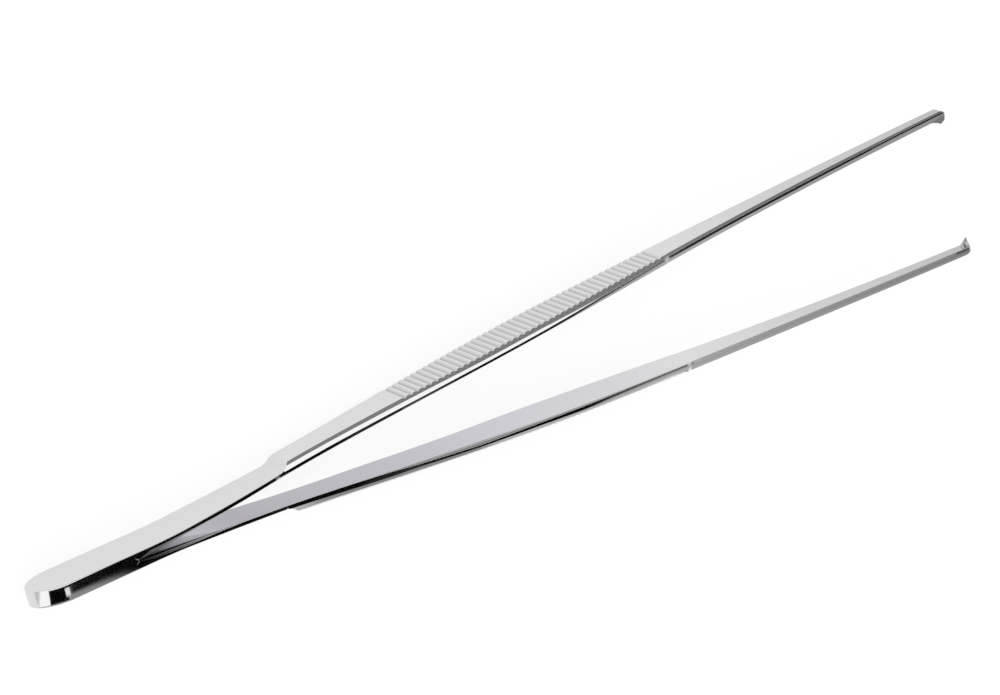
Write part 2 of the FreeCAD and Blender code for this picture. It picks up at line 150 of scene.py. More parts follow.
# Half widths in millimetres at shares of the way along the panel and along the slender part
PANEL_HALVES = ((0.0, 4.1), (0.28, 4.65), (0.58, 5.6), (0.83, 5.05), (1.0, 4.15))
SLENDER_HALVES = ((0.0, 4.01), (0.19, 3.25), (0.55, 2.25), (1.0, 1.5))

# Columns across the inner face as shares of the half width; the teeth's ridges lie between near pairs
INNER_COLUMNS = (0.93, 0.86, 0.80, 0.68, 0.45, 0.22, 0.03)

# What the polishing left on each arm, in millimetres: place along the arm, inner edge broken down the side and
# across the face, top of the upright side above the inner face, outer bevel down the side and across the face
PAIRED_POLISH = (
    (24.3, 0.10, 0.05, 1.00, 0.09, 0.09),
    (27.5, 0.80, 0.32, 1.00, 0.09, 0.09),
    (31.0, 0.60, 0.24, 1.00, 0.09, 0.09),
    (39.0, 0.28, 0.11, 0.90, 0.09, 0.09),
    (46.0, 0.08, 0.04, 0.80, 0.09, 0.09),
    (52.0, 0.04, 0.03, 0.78, 0.09, 0.09),
    (61.69, 0.04, 0.03, 0.78, 0.09, 0.09),
    (61.7, 0.04, 0.03, 0.78, 0.62, 0.55),
    (75.0, 0.04, 0.03, 0.78, 0.66, 0.55),
    (90.0, 0.04, 0.03, 0.70, 0.74, 0.56),
    (100.0, 0.04, 0.03, 0.62, 0.80, 0.60),
    (115.0, 0.04, 0.03, 0.61, 1.02, 0.66),
    (125.0, 0.04, 0.03, 0.60, 0.98, 0.64),
    (132.0, 0.05, 0.03, 0.62, 0.96, 0.64),
    (140.0, 0.15, 0.06, 0.74, 1.15, 0.72),
    (148.0, 0.38, 0.15, 0.91, 1.25, 0.80),
    (159.0, 0.52, 0.19, 1.01, 1.12, 0.74),
    (167.4, 0.76, 0.26, 1.38, 0.72, 0.50),
    (167.5, 0.80, 0.27, 1.40, 0.62, 0.45),
    (182.0, 0.90, 0.30, 1.45, 0.58, 0.42),
    (205.0, 0.88, 0.29, 1.40, 0.55, 0.40),
    (222.0, 0.95, 0.31, 1.40, 0.50, 0.38),
    (240.0, 1.05, 0.31, 1.40, 0.36, 0.30),
    (250.0, 1.05, 0.30, 1.40, 0.36, 0.30),
)
SINGLE_POLISH = (
    (24.3, 0.10, 0.12, 1.00, 0.09, 0.09),
    (28.0, 0.60, 0.80, 1.00, 0.09, 0.09),
    (35.0, 0.60, 0.80, 1.00, 0.09, 0.09),
    (39.0, 0.45, 0.60, 0.95, 0.09, 0.09),
    (45.0, 0.15, 0.20, 0.90, 0.09, 0.09),
    (50.0, 0.03, 0.03, 0.90, 0.09, 0.09),
    (61.69, 0.03, 0.03, 0.90, 0.09, 0.09),
    (61.7, 0.03, 0.03, 0.90, 0.50, 0.50),
    (66.0, 0.03, 0.03, 0.98, 0.50, 0.50),
    (80.0, 0.04, 0.04, 1.20, 0.50, 0.50),
    (87.0, 0.12, 0.16, 1.25, 0.50, 0.50),
    (95.0, 0.45, 0.60, 1.12, 0.50, 0.50),
    (110.0, 0.75, 0.95, 1.22, 0.50, 0.50),
    (126.0, 0.45, 0.60, 1.10, 0.50, 0.50),
    (142.0, 0.35, 0.50, 1.25, 0.50, 0.50),
    (153.0, 0.22, 0.30, 1.15, 0.50, 0.50),
    (160.0, 0.21, 0.29, 1.06, 0.68, 0.50),
    (167.4, 0.20, 0.28, 1.00, 0.92, 0.50),
    (167.5, 0.20, 0.26, 1.00, 1.00, 0.50),
    (205.0, 0.18, 0.22, 1.00, 1.00, 0.48),
    (240.0, 0.15, 0.18, 1.00, 0.85, 0.42),
    (250.0, 0.15, 0.15, 1.00, 0.80, 0.40),
)

# Slope of the upright side by place along each arm
PAIRED_LEAN = ((24.3, 0.0), (250, 0.0))
SINGLE_LEAN = ((135, 0.0), (145, 0.035), (250, 0.035))

# An arm: its side of the middle plane, its teeth, its polish, how far its broken inner edge bulges as a share of
# that edge's width, the slope of its upright side, and whether its inner face carries painted shade
Arm = namedtuple("Arm", "side teeth polish bulge lean dull")
ARMS = (
    Arm(1, "paired_teeth", PAIRED_POLISH, 0.0, PAIRED_LEAN, False),
    Arm(-1, "single_tooth", SINGLE_POLISH, 0.13, SINGLE_LEAN, True),
)

# Painted shade, as the share of its light that the steel gives back: along the arms, on the broken inner edges near
# the fork, and on the inner face of the single tooth's arm, which also has a faintly violet painted reflection up to
# the grip's end
# Painted shade along the arms: the steel darker towards the tips
ALONG_SHADE = ((0, 1.0), (165, 1.0), (182, 0.93), (205, 0.82), (222, 0.77), (240, 0.70), (250, 0.62))
# Painted shade on the broken inner edges, deepest where the arms part at the fork
FORK_SHADE = ((24, 0.12), (30, 0.35), (35, 0.65), (41, 1.0))
# Painted shade on the inner face of the single tooth's arm, standing in for the dark gap it mirrors
INNER_PAINTED_SHADE = ((24, 0.15), (30, 0.4), (35, 0.7), (39, 0.75), (45, 0.64), (51, 0.58), (56, 0.62), (66, 0.65),
              (80, 0.69), (95, 0.74), (110, 0.81), (126, 0.87), (150, 0.92), (170, 1.0), (250, 1.0))
# Colour of the faint violet painted reflection on that face, and where it fades out
INNER_PAINTED_TINT = (0.995, 0.965, 1.05)
TINT_FADE = ((110, 1.0), (170, 0.0))
# Power that deepens the painted fork shade on the single tooth's arm
SINGLE_ARM_FORK_SHADE_POWER = 1.6

# Rings along each stretch of an arm
BUTT_ARC_RINGS = 19
BUTT_RINGS = 16
HEEL_RINGS = 17
SPRING_RINGS = 20
SHOULDER_RINGS = 40
PANEL_RINGS = 22
SLENDER_RINGS = 60
TEETH_RINGS = 24
NOSE_RINGS = 22

# Points on each rounded corner of an arm's profile, and the points before its upright side and before its bevel
CORNER_POINTS = 4
EDGE_POINTS = 3 * CORNER_POINTS
WALL_POINTS = 6 * CORNER_POINTS

# Columns across the outer face as shares of its half width
OUTER_COLUMNS = (0.86, 0.6, 0.3)

# The least step between two corners of a profile, in millimetres
LEAST = 0.02

# Points closer than this are merged, in metres, and edges that turn by more than this stay sharp
DOUBLES = 2e-7
SHARP_ANGLE = math.radians(50)

# Changes per metre of the steel's grain along and across the arm, of its cloudy wear, and of the floor's fibres
GRAIN_SCALE = (60, 2600, 2600)
CLOUD_SCALE = 90.0
FIBRE_SCALE = 900.0

# Parts of the tent in mirrors, painted in this order: a name and the soft steps that bound the part, each with an
# axis of the mirrored direction, where the step starts and where it is full; "low" is y less a slant that follows x
TENT_PARTS = (
    ("far_side", (("y", 0.28, 0.60),)),
    ("near_side", (("low", -0.512, -0.528),)),
    ("flag", (("low", -0.528, -0.512), ("y", -0.20, -0.24), ("x", -0.62, -0.58), ("x", 0.66, 0.60))),
    ("grey_card", (("y", -0.385, -0.47), ("x", 0.20, 0.23), ("x", 0.385, 0.365))),
    ("white_card", (("y", -0.48, -0.40), ("y", -0.28, -0.30), ("x", 0.10, 0.13), ("x", 0.34, 0.30))),
    ("end_side", (("x", -0.84, -0.90), ("z", 0.60, 0.50))),
)
SLANT_START = 0.35
SLANT = 0.75
GREY_CARD = 0.55
WHITE_CARD = 0.8

# Where the camera stands, in metres, and which ways its picture's right, its picture's foot and its view point
CAMERA_PLACE = (-0.48741, 0.40812, 0.91082)
CAMERA_RIGHT = Vector((0.81942, -0.21123, 0.53285))
CAMERA_DOWN = Vector((-0.36667, -0.9077, 0.20404))
CAMERA_FORWARD = Vector((0.44057, -0.36257, -0.82124))


class Outline:
    """The forceps's curves in millimetres, each a function of the place x along the arm."""

    def __init__(self, shape):
        for name in shape.__annotations__:
            number = getattr(shape, name)
            scale = 1 if name in BARE_NUMBERS else 1 / MM
            setattr(self, name, number * scale)
        self.run = self.length - self.shoulder_x
        nose, half = self.butt_nose_radius, self.width / 2
        self.side_radius = ((self.butt_round_length - nose) ** 2 + half ** 2 - nose ** 2) / (2 * (half - nose))
        self.meet_x = nose - nose * (self.butt_round_length - nose) / (self.side_radius - nose)
        self.grip_end = self.groove_start + (self.groove_count - 1) * self.groove_pitch + self.groove_margin

    def inner(self, x):
        """Inner face: a shallow parabola from the fork to the shoulder, then one bowed outwards to the tips."""
        spring = np.clip((x - self.fork_x) / (self.shoulder_x - self.fork_x), 0, 1)
        low = self.fork_gap / 2 + (self.spring_lift - self.fork_gap / 2) * spring
        low = low - 4 * self.spring_bow * spring * (1 - spring)
        share = (x - self.shoulder_x) / self.run
        high = self.spring_lift + (self.tip_lift - self.spring_lift) * share + 4 * self.arm_bow * share * (1 - share)
        return np.where(x < self.shoulder_x, low, high)

    def outer(self, x):
        """Outer face: straight butt, an arc over the heel, the spring's parabola, then the thick arm."""
        run = self.shoulder_x - self.butt_heel_x
        heel = self.butt_heel_thick / 2
        rise = self.spring_lift + self.spring_thick - heel
        butt_slope = (heel - self.butt_end_thick / 2) / self.butt_heel_x
        butt = self.butt_end_thick / 2 + butt_slope * x
        share = (x - self.butt_heel_x) / run
        spring = heel + rise * share - 4 * self.spring_bow * share * (1 - share)
        arm_slope = (rise - 4 * self.spring_bow) / run
        blend = self.butt_heel_blend
        over = np.clip((x - self.butt_heel_x + blend) / (2 * blend), 0, 1)
        bend = heel + butt_slope * (x - self.butt_heel_x) + (arm_slope - butt_slope) * blend * over ** 2
        full = self.inner(x) + self.panel_thick
        full = full + (self.tip_thick - self.panel_thick) * (x - self.shoulder_x) / self.run
        low = np.where(x < self.butt_heel_x - blend, butt, np.where(x < self.butt_heel_x + blend, bend, spring))
        return np.where(x < self.shoulder_x, low, full)

    def half(self, x):
        """Half width: the spring's bowed side, then a smooth curve through the panel's widths, and one through the
        slender part's."""
        straight = self.butt_round_length + self.butt_side_flat
        share = np.clip((x - straight) / (self.shoulder_x - straight), 0, 1)
        near = self.width / 2 + (PANEL_HALVES[0][1] - self.width / 2) * share
        near = near + 4 * self.butt_side_bow * share * (1 - share)
        panel = np.polynomial.Polynomial.fit(*zip(*PANEL_HALVES), 4)
        slender = np.polynomial.Polynomial.fit(*zip(*SLENDER_HALVES), 3)
        grip = panel((x - self.shoulder_x) / (self.grip_end - self.shoulder_x))
        far = slender((x - self.grip_end) / (self.length - self.grip_end))
        return np.where(x < self.shoulder_x, near, np.where(x < self.grip_end, grip, far))

    def butt_side(self, x):
        """The rounded butt end from above: half width and turn of the side; a small arc that runs into a wide one."""
        nose, wide, end = self.butt_nose_radius, self.side_radius, self.butt_round_length
        small = np.arccos(np.clip(1 - x / nose, -1, 1))
        large = np.arccos(np.clip((end - x) / wide, -1, 1))
        turn = np.where(x < self.meet_x, small, large)
        half = np.where(x < self.meet_x, nose * np.sin(turn), self.width / 2 - wide + wide * np.sin(turn))
        return half, turn

    def ramp(self, x):
        """Ground shoulder: an arc that starts along the spring and turns up to the slope."""
        low = math.atan((self.tip_lift - self.spring_lift + 4 * self.arm_bow) / self.run)
        high = self.shoulder_angle
        radius = self.shoulder_radius
        foot = self.spring_lift + self.spring_thick
        bend = self.shoulder_x + radius * (math.sin(high) - math.sin(low))
        reach = np.clip((x - self.shoulder_x) / radius + math.sin(low), -1, math.sin(high))
        arc = foot + radius * (math.cos(low) - np.sqrt(1 - reach ** 2))
        return np.where(x < self.shoulder_x, 1e3, arc + np.maximum(x - bend, 0) * math.tan(high))

    def groove(self, x):
        """Depth of the cross grooves: a V that repeats at the pitch, nothing between two of them or outside the row."""
        number = np.clip(np.round((x - self.groove_start) / self.groove_pitch), 0, self.groove_count - 1)
        aside = np.abs(x - self.groove_start - number * self.groove_pitch)
        return self.groove_depth * np.clip(1 - aside / (self.groove_width / 2), 0, 1)

    def nose(self, x):
        """Height of the front end's rounding, an arc that leaves the outer face along it and falls to the front."""
        back = np.clip(x - (self.length - self.nose_length), 0, self.nose_length)
        radius = (self.nose_length ** 2 + self.nose_drop ** 2) / (2 * self.nose_drop)
        fall = radius - np.sqrt(radius ** 2 - back ** 2)
        return np.where(back > 0, self.tip_lift + self.tip_thick - fall, 1e3)

    def corner(self, x):
        """How far the sides pull in at the front end, a quarter circle seen from above."""
        back = np.clip(x - (self.length - self.corner_radius), 0, self.corner_radius)
        return self.corner_radius - np.sqrt(self.corner_radius ** 2 - back ** 2)

    def paired_teeth(self, x, z):
        """Rise of the two teeth: the lower of a hollow slope along the arm and two peaks with a notch across it."""
        crest = self.length - self.tooth_back
        back = self.length - self.jaw_length
        foot = self.inner(np.array(back))
        share = np.clip((x - back) / (crest - back), 0, 1)
        low = self.tip_lift - self.tooth_height
        slope = foot + (low - foot) * share + 4 * self.tooth_hollow * share * (1 - share)
        front = low + (self.tooth_height - self.tooth_front) * (x - crest) / self.tooth_back
        along = self.inner(x) - np.where(x < crest, slope, front)
        across = np.where(
            np.abs(z) < self.tooth_offset,
            self.tooth_height - self.notch_depth * (1 - np.abs(z) / self.tooth_offset),
            self.tooth_height * (self.tip_half - np.abs(z)) / (self.tip_half - self.tooth_offset),
        )
        return np.where(x > back, np.clip(np.minimum(along, across + self.inner(x) - self.tip_lift), 0, None), 0)

    def single_tooth(self, x, z):
        """Rise of the one tooth: the lower of a bulging back along the arm and one peak across it."""
        start = np.array((self.length - self.fang_length, -self.inner(self.length - self.fang_length)))
        apex = np.array((self.length, self.fang_height - self.tip_lift))
        chord = apex - start
        reach = np.linalg.norm(chord)
        left = np.array((-chord[1], chord[0])) / reach
        radius = reach ** 2 / (8 * self.fang_bulge) + self.fang_bulge / 2
        centre = (start + apex) / 2 - left * (radius - self.fang_bulge)
        along = centre[1] + np.sqrt(np.clip(radius ** 2 - (x - centre[0]) ** 2, 0, None))
        across = self.fang_height * (1 - np.abs(z) / (self.fang_width / 2)) - self.tip_lift
        return np.where(x > start[0], np.clip(np.minimum(along, across) + self.inner(x), 0, None), 0)

    @property
    def tip_half(self):
        return SLENDER_HALVES[-1][1]


def stations(o):
    """Places of the rings along the arm, close where the shape turns."""
    meet = math.acos(1 - o.meet_x / o.butt_nose_radius)
    small = o.butt_nose_radius * (1 - np.cos(np.linspace(0, meet, BUTT_ARC_RINGS)))
    large = o.butt_round_length - o.side_radius * np.cos(np.linspace(meet, math.pi / 2, BUTT_ARC_RINGS))
    heel_start, heel_end = o.butt_heel_x - o.butt_heel_blend, o.butt_heel_x + o.butt_heel_blend
    groove = o.groove_width / 2
    row = o.groove_start + np.arange(o.groove_count) * o.groove_pitch
    steps = np.array((-groove - 0.06, -groove + 0.06, -0.035, 0.035, groove - 0.06, groove + 0.06))
    crest = o.length - o.tooth_back
    places = np.concatenate((
        small,
        large,
        np.linspace(o.butt_round_length + 1, heel_start, BUTT_RINGS),
        (o.fork_x, o.fork_x + LEAST),
        np.linspace(heel_start, heel_end, HEEL_RINGS),
        np.linspace(heel_end, o.shoulder_x - 0.2, SPRING_RINGS),
        np.linspace(o.shoulder_x, o.shoulder_x + 2.6, SHOULDER_RINGS),
        np.linspace(o.shoulder_x + 2.75, o.groove_start - o.groove_pitch / 2, PANEL_RINGS),
        (row[:, None] + steps).ravel(),
        o.grip_end + np.array((-0.9, -0.1, 0.1, 0.5)),
        np.linspace(o.grip_end + 1.2, o.length - o.jaw_length - 0.3, SLENDER_RINGS),
        np.linspace(o.length - o.jaw_length, crest - 0.03, TEETH_RINGS),
        (crest + 0.03, o.length - o.fang_length - 0.01, o.length - o.fang_length + 0.03),
        o.length - o.nose_length + o.nose_length * np.sin(np.linspace(0, math.pi / 2, NOSE_RINGS)),
    ))
    return np.unique(np.round(places, 4))


def edge_points(corners, radius):
    """Rounds each corner of a profile by its radius: a parabola between its sides, with the corner as control point."""
    before = corners[:, :-2] - corners[:, 1:-1]
    after = corners[:, 2:] - corners[:, 1:-1]
    reach = np.stack((np.linalg.norm(before, axis=2), np.linalg.norm(after, axis=2)))
    cut = np.minimum(radius, 0.45 * reach.min(axis=0))[..., None]
    start = corners[:, 1:-1] + before / np.maximum(reach[0], 1e-9)[..., None] * cut
    end = corners[:, 1:-1] + after / np.maximum(reach[1], 1e-9)[..., None] * cut
    share = np.linspace(0, 1, CORNER_POINTS)[None, None, :, None]
    middle = corners[:, 1:-1, None]
    curve = (1 - share) ** 2 * start[:, :, None] + 2 * share * (1 - share) * middle + share ** 2 * end[:, :, None]
    return curve.reshape(len(corners), -1, 2)


def side_profile(o, x, arm):
    """Each ring's profile from the inner face's edge over the side to the outer face: distance in from the side, and y.

    It is the broken inner edge, which bulges by a share of its width, the upright side, the leaning side and the
    bevel. Shoulder, grooves and nose lower the outer face and its bevel. In the closed butt the points before the
    upright side lie evenly from the middle plane up, and a parabola crowns the butt's side."""
    closed = x < o.fork_x + LEAST / 2
    panel = (x >= o.shoulder_x) & (x < o.grip_end)
    table = np.array(arm.polish).T
    break_down, break_in, upright, bevel_down, bevel_in = (np.interp(x, table[0], column) for column in table[1:])

    inner = np.where(closed, 0, o.inner(x))
    outer = o.outer(x)
    cut = np.minimum.reduce((outer, o.ramp(x), outer - o.groove(x), o.nose(x)))
    lowered = np.clip((outer - cut) / bevel_down, 0, 1)
    top = np.minimum(outer - bevel_down, cut - LEAST)
    mid = np.minimum(inner + np.maximum(upright, break_down + 0.05), top - LEAST)
    broken = np.minimum(inner + break_down, mid - LEAST)
    mid_in = np.interp(x, *np.array(arm.lean).T) * (mid - inner - break_down)
    draft = np.where(panel, o.wall_draft * np.clip((x - o.shoulder_x) / 2, 0, 1), 0)
    top_in = mid_in + draft * (top - mid)
    cut_in = top_in + np.maximum(bevel_in * (1 - lowered), LEAST / 2)

    face_edge = np.stack((break_in, inner), 1)
    side_edge = np.stack((np.zeros_like(x), broken), 1)
    chord = side_edge - face_edge
    corners = np.stack((
        face_edge + (1, 0),
        face_edge,
        (face_edge + side_edge) / 2 - arm.bulge * np.stack((chord[:, 1], -chord[:, 0]), 1),
        side_edge,
        np.stack((mid_in, mid), 1),
        np.stack(((mid_in + top_in) / 2, (mid + top) / 2), 1),
        np.stack((top_in, top), 1),
        np.stack((cut_in, cut), 1),
        np.stack((cut_in + 1, cut), 1),
    ), 1)
    crisp = 0.3 * o.edge_break
    soft = 8 * o.edge_break if arm.bulge else crisp
    side = edge_points(corners, np.array((soft, soft, crisp, crisp, o.width, crisp, o.edge_break)))
    side[closed, :EDGE_POINTS, 0] = 0
    even = x < o.fork_x - LEAST / 2
    side[even, :EDGE_POINTS, 1] = np.linspace(0, 0.97, EDGE_POINTS) * mid[even, None]
    crown = o.butt_crown * np.interp(x, (o.butt_round_length, o.fork_x - 4, o.fork_x), (1, 0.25, 0))
    side[..., 0] += crown[:, None] * (side[..., 1] / outer[:, None]) ** 2
    return side, inner, outer


def arm_grid(o, arm):
    """One half of the forceps as rings of points (x, y, z) carried along the arm.

    A ring runs from the middle of the inner face over the upper side to the middle of the outer face, and back over
    the lower side. Distances in from the side follow the plan outline's normal, so the rounded butt closes on its
    end. The teeth lift the inner face and its edge."""
    x = stations(o)
    side, inner, outer = side_profile(o, x, arm)
    tooth = getattr(o, arm.teeth)
    toothed = x[:, None] > o.shoulder_x

    butt = x < o.butt_round_length
    end_half, end_turn = o.butt_side(x)
    half = np.where(butt, end_half, o.half(x) - o.corner(x))
    turn = np.where(butt, end_turn, math.pi / 2)
    along = x[:, None] + side[..., 0] * np.cos(turn)[:, None]
    aside = np.maximum(half[:, None] - side[..., 0] * np.sin(turn)[:, None], 0)
    edge = slice(0, EDGE_POINTS)
    side[:, edge, 1] -= np.where(toothed, tooth(along[:, edge], aside[:, edge]), 0)

    inner_z = aside[:, :1] * np.array(INNER_COLUMNS[::-1])
    inner_x = np.repeat(along[:, :1], len(INNER_COLUMNS), 1)
    inner_y = inner[:, None] - np.where(toothed, tooth(inner_x, inner_z), 0)
    outer_z = aside[:, -1:] * np.array(OUTER_COLUMNS)
    outer_x = np.repeat(along[:, -1:], len(OUTER_COLUMNS), 1)
    outer_y = np.repeat(side[:, -1:, 1], len(OUTER_COLUMNS), 1)
    near = np.stack((
        np.concatenate((inner_x, along, outer_x), 1),
        np.concatenate((inner_y, side[..., 1], outer_y), 1),
        np.concatenate((inner_z, aside, outer_z), 1),
    ), 2)

    # On the rounded butt a ring's points lie at different places, so each takes the outer face's height at its own
    upper = butt[:, None] & (near[..., 1] > 0.5 * outer[:, None])
    near[..., 1] += np.where(upper, o.outer(near[..., 0]) - outer[:, None], 0)
    return np.concatenate((near, near[:, ::-1] * (1, 1, -1)), 1)


def closed_end(o, ring):
    """The rings with the last one brought to the front end, a slightly smaller one there, and the end's middle."""
    middle = ring[-1].mean(axis=0)
    middle[0] = o.length
    last = middle + (ring[-1] - middle) * (1, 0.97, 0.97)
    last[:, 0] = o.length
    ring[-1, :, 0] = o.length - 0.03
    return np.concatenate((ring, last[None])), middle


def arm_tint(o, finish, ring, arm):
    """Painted shade: the share of red, green and blue that the steel gives back at each point of the rings.

    It falls along the arm towards the tips, in each groove with the groove's depth, on the teeth, towards the fork
    on the inner edges, and on the inner face of the single tooth's arm, which also gets a faint violet painted
    reflection."""
    x, z = ring[..., 0], ring[..., 2]
    columns = len(INNER_COLUMNS)
    number = np.arange(ring.shape[1])
    number = np.minimum(number, number[::-1])
    past_fork = x > o.fork_x + LEAST / 2
    inner_side = number < columns + EDGE_POINTS
    # Painted shade along the arm, darker towards the tips
    along = np.interp(x, *np.array(ALONG_SHADE).T)
    # Painted shade in the grooves, following each groove's depth
    groove = o.groove(x) / o.groove_depth * (number >= columns + WALL_POINTS)
    light = along * (1 - finish.groove_painted_shade * groove)
    # Painted shade on the teeth
    teeth = np.clip(getattr(o, arm.teeth)(x, z) * 4, 0, 1) * inner_side
    light = light * (1 - finish.tooth_painted_shade * teeth)
    # Painted shade towards the fork on the inner edges, deeper on the single tooth's arm
    fork = np.interp(x, *np.array(FORK_SHADE).T) ** (SINGLE_ARM_FORK_SHADE_POWER if arm.dull else 1.0)
    light = np.where(inner_side & past_fork, light * fork, light)
    painted_light = np.repeat(light[..., None], 3, 2)
    # Painted shade and a faint violet painted reflection on the inner face of the single tooth's arm
    if arm.dull:
        shade = np.interp(x, *np.array(INNER_PAINTED_SHADE).T) * along
        fade = np.interp(x, *np.array(TINT_FADE).T)[..., None]
        colour = 1 + (np.array(INNER_PAINTED_TINT) - 1) * fade
        face = (number < columns + 2) & past_fork
        painted_light = np.where(face[..., None], shade[..., None] * colour, painted_light)
    return painted_light


def forceps_mesh(shape, finish):
    """The whole forceps as one closed surface: two arm grids, mirrored in Y, that share the butt's middle plane."""
    o = Outline(shape)
    columns = len(INNER_COLUMNS)
    points = []
    tints = []
    faces = []
    count = 0
    for arm in ARMS:
        ring, middle = closed_end(o, arm_grid(o, arm))
        painted_light = arm_tint(o, finish, ring, arm)
        rings, across = ring.shape[:2]
        index = np.arange(rings * across).reshape(rings, across) + count
        ahead = np.roll(index, -1, 1)
        quads = np.stack((index[:-1], ahead[:-1], ahead[1:], index[1:]), 2)
        inside = np.zeros((rings - 1, across), bool)
        before_fork = ring[:-1, :, 0].min(axis=1) < o.fork_x - 0.001
        inside[before_fork, :columns] = True
        inside[before_fork, across - columns - 1:] = True
        quads = quads[~inside]
        cap = np.stack((index[-1], ahead[-1], np.full(across, count + rings * across)), 1)
        if arm.side > 0:
            quads = quads[:, ::-1]
            cap = cap[:, ::-1]
        points.append(np.concatenate((ring.reshape(-1, 3), middle[None])) * (1, arm.side, 1))
        tints.append(np.concatenate((painted_light.reshape(-1, 3), painted_light[-1, :1])))
        faces.extend(quads.tolist())
        faces.extend(cap.tolist())
        count += rings * across + 1
    place = np.concatenate(points) + (-o.length / 2, 0, o.width / 2)
    return place * MM, faces, np.concatenate(tints)


def closed_mesh(name, points, faces, painted_light):
    """A mesh of these points and faces with doubles merged, normals outwards and painted shade at each point."""
    mesh = bpy.data.meshes.new(name)
    mesh.from_pydata(points.tolist(), [], faces)
    colour = mesh.attributes.new("painted_light", "FLOAT_COLOR", "POINT")
    colour.data.foreach_set("color", np.concatenate((painted_light, np.ones((len(painted_light), 1))), 1).ravel())
    work = bmesh.new()
    work.from_mesh(mesh)
    bmesh.ops.remove_doubles(work, verts=work.verts, dist=DOUBLES)
    bmesh.ops.dissolve_degenerate(work, edges=work.edges, dist=DOUBLES)
    bmesh.ops.recalc_face_normals(work, faces=work.faces)
    work.to_mesh(mesh)
    work.free()
    mesh.polygons.foreach_set("use_smooth", np.ones(len(mesh.polygons), bool))
    mesh.set_sharp_from_angle(angle=SHARP_ANGLE)
    return mesh


class Nodes:
    """Adds nodes to a material's tree and joins them."""

    def __init__(self, tree):
        self.tree = tree
        tree.nodes.clear()

    def add(self, kind, inputs=None, **settings):
        node = self.tree.nodes.new(kind)
        for name, value in settings.items():
            setattr(node, name, value)
        for name, value in (inputs or {}).items():
            socket = node.inputs[name]
            if isinstance(value, bpy.types.NodeSocket):
                self.tree.links.new(value, socket)
            else:
                socket.default_value = value
        return node


def steel_material(finish):
    """Polished steel with painted shade from the mesh, a fine lengthwise grain, faint cloudy wear and changes of
    polish.
    """
    material = bpy.data.materials.new("polished_steel")
    material.use_nodes = True
    n = Nodes(material.node_tree)
    place = n.add("ShaderNodeTexCoord").outputs["Object"]
    stretched = n.add("ShaderNodeMapping", {"Vector": place, "Scale": GRAIN_SCALE}).outputs["Vector"]
    grain = n.add("ShaderNodeTexNoise", {"Vector": stretched, "Scale": 1.0, "Detail": 3.0}).outputs["Fac"]
    cloud = n.add("ShaderNodeTexNoise", {"Vector": place, "Scale": CLOUD_SCALE, "Detail": 4.0}).outputs["Fac"]
    rough = ramp_of(n, cloud, 0.3, 0.7, finish.roughness * 0.8, finish.roughness * 1.25)
    bump = n.add("ShaderNodeBump", {"Height": grain, "Strength": 0.1, "Distance": finish.grain_depth}).outputs["Normal"]
    painted_light = n.add("ShaderNodeAttribute", attribute_name="painted_light").outputs["Color"]
    colour = joined(n, "ShaderNodeVectorMath", "MULTIPLY", painted_light, finish.colour)
    shader = n.add("ShaderNodeBsdfPrincipled", {"Roughness": rough, "Normal": bump, "Metallic": 1.0,
                                                "Base Color": colour})
    n.add("ShaderNodeOutputMaterial", {"Surface": shader.outputs["BSDF"]})
    return material


def floor_material(studio):
    """Plain pale board that is lit from below as well."""
    material = bpy.data.materials.new("pale_floor")
    material.use_nodes = True
    n = Nodes(material.node_tree)
    place = n.add("ShaderNodeTexCoord").outputs["Object"]
    fibre = n.add("ShaderNodeTexNoise", {"Vector": place, "Scale": FIBRE_SCALE, "Detail": 2.0}).outputs["Fac"]
    bump = n.add("ShaderNodeBump", {"Height": fibre, "Strength": 0.05, "Distance": 0.0001}).outputs["Normal"]
    lit = [c * (1 - studio.floor_glow) for c in studio.floor_colour]
    shader = n.add("ShaderNodeBsdfPrincipled", {"Base Color": (*lit, 1), "Roughness": 0.9, "Normal": bump,
                                                "Specular IOR Level": 0.0, "Emission Color": (1, 1, 1, 1),
                                                "Emission Strength": studio.floor_glow})
    n.add("ShaderNodeOutputMaterial", {"Surface": shader.outputs["BSDF"]})
    return material


def soft_step(n, value, start, end):
    """A soft step from 0 at start to 1 at end."""
    return n.add("ShaderNodeMapRange", {"Value": value, "From Min": start, "From Max": end},
                 interpolation_type="SMOOTHSTEP").outputs["Result"]


def joined(n, kind, operation, first, second):
    """Two values or vectors joined by one operation."""
    node = n.add(kind, operation=operation)
    for socket, value in zip(node.inputs, (first, second)):
        if isinstance(value, bpy.types.NodeSocket):
            n.tree.links.new(value, socket)
        else:
            socket.default_value = value
    return node.outputs[0]


def sums(n, operation, first, second):
    """One sum of two values."""
    return joined(n, "ShaderNodeMath", operation, first, second)


def bounded(n, steps):
    """The product of soft steps, each given by its value, start and end."""
    product = soft_step(n, *steps[0])
    for step in steps[1:]:
        product = sums(n, "MULTIPLY", product, soft_step(n, *step))
    return product


def ramp_of(n, value, start, end, first, last):
    """A straight ramp from first to last between start and end, level outside."""
    return n.add("ShaderNodeMapRange", {"Value": value, "From Min": start, "From Max": end,
                                        "To Min": first, "To Max": last}).outputs["Result"]


def laid_over(n, share, under, over):
    """The level over laid on the level under, by its share."""
    mix = n.add("ShaderNodeMix", {"Factor": share}, data_type="FLOAT")
    for socket, level in zip((mix.inputs["A"], mix.inputs["B"]), (under, over)):
        if isinstance(level, bpy.types.NodeSocket):
            n.tree.links.new(level, socket)
        else:
            socket.default_value = level
    return mix.outputs["Result"]


